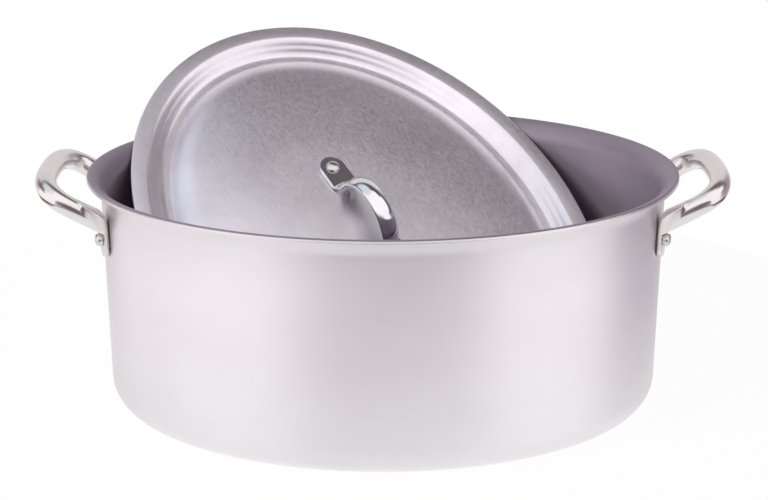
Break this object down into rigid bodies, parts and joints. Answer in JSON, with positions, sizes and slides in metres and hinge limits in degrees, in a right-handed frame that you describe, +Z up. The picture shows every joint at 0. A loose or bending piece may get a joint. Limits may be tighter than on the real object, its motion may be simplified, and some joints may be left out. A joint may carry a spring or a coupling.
{
  "type": "oval casserole pot",
  "caption": "Oval drawn aluminium casserole with a flared lip, dark non-stick inside and riveted bar handles at its ends; the sunk oval lid with a bridge handle leans inside it.",
  "frame": {"origin": "middle of the pot's flat underside, on the surface that it stands on", "axes": "+X along the oval's long axis from the left handle to the right handle, -Y towards the viewer of the picture, +Z up"},
  "size_m": [0.4474, 0.3199, 0.2165],
  "materials": {
    "pot_metal": "fine satin, turned",
    "nonstick_coating": "satin dark grey coating",
    "handle_steel": "mirror polished",
    "lid_metal": "fine satin",
    "lid_handle_chrome": "polished",
    "rivet_metal": "bright, slightly dulled"
  },
  "bodies": {
    "pot": {"pot_body": "pot_metal", "nonstick_lining": "nonstick_coating", "handle_right": "handle_steel", "handle_left": "handle_steel", "handle_rivet_right_front": "rivet_metal", "handle_rivet_right_back": "rivet_metal", "handle_rivet_left_front": "rivet_metal", "handle_rivet_left_back": "rivet_metal"},
    "lid": {"lid_panel": "lid_metal", "lid_handle": "lid_handle_chrome", "lid_rivet_lower": "rivet_metal", "lid_rivet_upper": "rivet_metal"}
  },
  "joints": [
    {"name": "lid_lift", "type": "slide", "parent": "pot", "child": "lid", "axis": [0, 0, 1], "range_m": [0, 0.18]}
  ]
}
